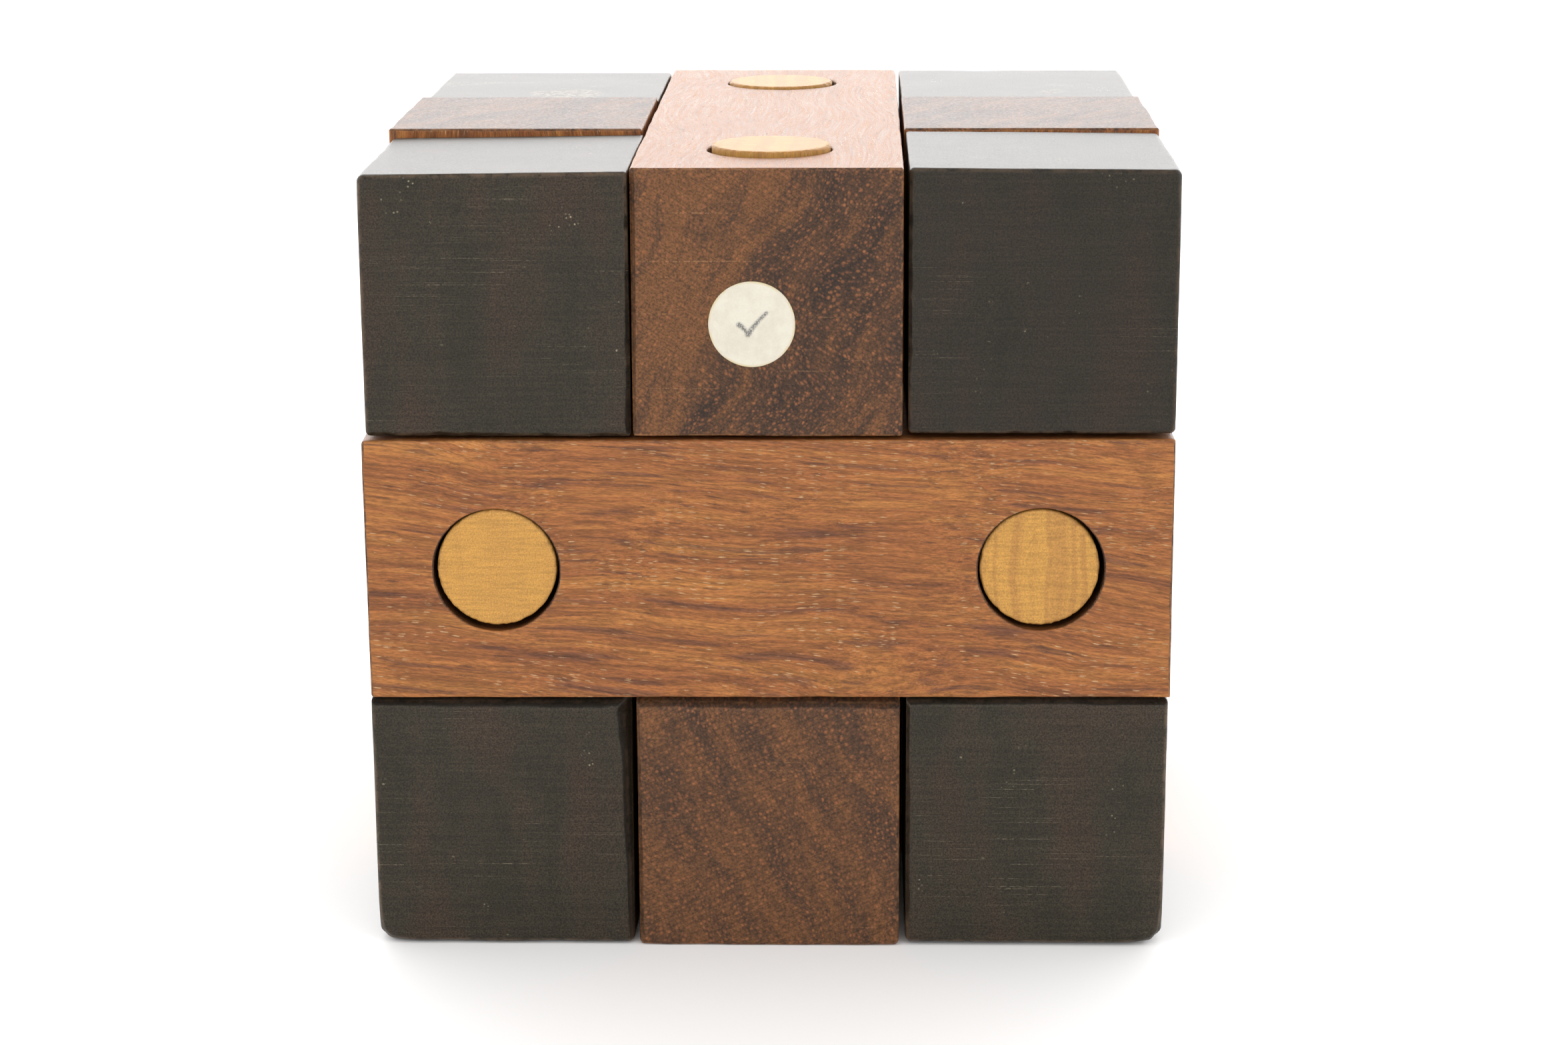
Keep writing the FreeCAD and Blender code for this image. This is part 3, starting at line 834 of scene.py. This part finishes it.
def label_paper():
    """Aged off-white paper, yellower at its rim, with a grey pencil tick."""
    g = Graph("label_paper", 0.6, 0.3)
    coordinates = g.nodes.new("ShaderNodeTexCoord")
    place = g.vector("SCALE", coordinates.outputs["Object"], scale=1 / MM)
    cloud = g.noise(place, 0.7, 3.0, 0.6)
    color = g.ramp(cloud, (0.35, srgb(195, 188, 173)), (0.6, srgb(201, 196, 182)))
    fibres = g.noise(place, 7.0, 3.0, 0.6)
    color = g.brighten(color, g.span(fibres, 0.3, 0.7, 0.97, 1.03))
    edge = g.attribute("edge")
    rim = g.math("MULTIPLY", g.span(edge, 0.30, 0.02), g.span(cloud, 0.35, 0.6))
    color = g.mix(g.math("MULTIPLY", rim, 0.7), color, PAPER_RIM)
    tooth = g.noise(place, 9.0, 2.0, 0.7)
    ink = g.math("MULTIPLY", g.attribute("ink"), g.span(tooth, 0.32, 0.56, 0.25, 1.0))
    color = g.mix(g.math("MULTIPLY", ink, 0.9), color, PENCIL)
    g.put(g.shader.inputs["Base Color"], color)
    g.put(g.shader.inputs["Roughness"], g.span(fibres, 0.3, 0.7, 0.55, 0.7))
    g.put(g.shader.inputs["Normal"], g.bump(fibres, 0.01))
    return g.material


# ---------------------------------------------------------------- pieces

for number, (node, axis) in enumerate(BARS.items()):
    material = rosewood(node, axis, number + 1, **BAR_LOOKS.get(node, {}))
    make_bar(node, axis, material, BAR_SEED + number, BAR_EDGES.get(node, {}))
for number, node in enumerate(BLOCKS):
    make_block(node, ebony(node, number + 1, BLOCK_TONES.get(node, 1.0)), BLOCK_SEED + number,
               BLOCK_EDGES.get(node, {}), BLOCK_LEANS.get(node, ()))
for number, (node, axis) in enumerate(PINS.items()):
    material = boxwood(node, axis, number + 1, PIN_BANDING.get(node, 0.5))
    make_pin(node, axis, material, PIN_SEED + number)
make_label("paper_label", label_paper())


# ----------------------------------------------------------------- stage

def add_floor():
    """A plain pale floor, wide enough to fill the view."""
    reach = FLOOR_REACH
    mesh = bpy.data.meshes.new("floor")
    corners = [(-reach, -reach, 0), (reach, -reach, 0), (reach, reach, 0), (-reach, reach, 0)]
    mesh.from_pydata(corners, [], [(0, 1, 2, 3)])
    floor = bpy.data.objects.new("floor", mesh)
    bpy.context.scene.collection.objects.link(floor)
    material = bpy.data.materials.new("pale_floor")
    material.use_nodes = True
    shader = material.node_tree.nodes["Principled BSDF"]
    shader.inputs["Base Color"].default_value = FLOOR_COLOR
    shader.inputs["Roughness"].default_value = 0.8
    mesh.materials.append(material)


def add_world():
    """Even light from all round, dimmer overhead, with a bright low glow behind the cube."""
    world = bpy.data.worlds.new("studio")
    bpy.context.scene.world = world
    world.use_nodes = True
    nodes, links = world.node_tree.nodes, world.node_tree.links
    coordinates = nodes.new("ShaderNodeTexCoord")
    parts = nodes.new("ShaderNodeSeparateXYZ")
    links.new(coordinates.outputs["Generated"], parts.inputs[0])
    ramps = []
    for part, low, high, dim, bright in (("Y", 0.45, 0.97, EVEN_LIGHT, EVEN_LIGHT + BACK_LIGHT),
                                         ("Z", 0.2, 1.0, 0.0, OVERHEAD_LIGHT)):
        ramp = nodes.new("ShaderNodeMapRange")
        ramp.interpolation_type = "SMOOTHSTEP"
        links.new(parts.outputs[part], ramp.inputs["Value"])
        for label, value in (("From Min", low), ("From Max", high),
                             ("To Min", dim), ("To Max", bright)):
            ramp.inputs[label].default_value = value
        ramps.append(ramp.outputs[0])
    total = nodes.new("ShaderNodeMath")
    for socket, output in zip(total.inputs, ramps):
        links.new(output, socket)
    links.new(total.outputs[0], nodes["Background"].inputs["Strength"])
    nodes["Background"].inputs["Color"].default_value = (1, 1, 1, 1)


def add_camera():
    """The viewer's place, a little above the cube and almost square to its front."""
    camera = bpy.data.objects.new("camera", bpy.data.cameras.new("camera"))
    camera.data.lens = LENS
    camera.data.sensor_width = SENSOR_WIDTH
    pitch, yaw = math.radians(CAMERA_PITCH), math.radians(CAMERA_YAW)
    forward = Vector((math.sin(yaw) * math.cos(pitch), math.cos(yaw) * math.cos(pitch),
                      -math.sin(pitch)))
    turn = forward.to_track_quat("-Z", "Y").to_matrix().to_4x4()
    roll = Matrix.Rotation(math.radians(CAMERA_ROLL), 4, "Z")
    camera.matrix_world = Matrix.Translation(Vector(CAMERA_PLACE) * MM) @ turn @ roll
    camera.data.clip_start, camera.data.clip_end = 0.01, 50
    bpy.context.scene.collection.objects.link(camera)
    bpy.context.scene.camera = camera


add_floor()
add_world()
add_camera()
bpy.context.scene.view_settings.view_transform = "Standard"
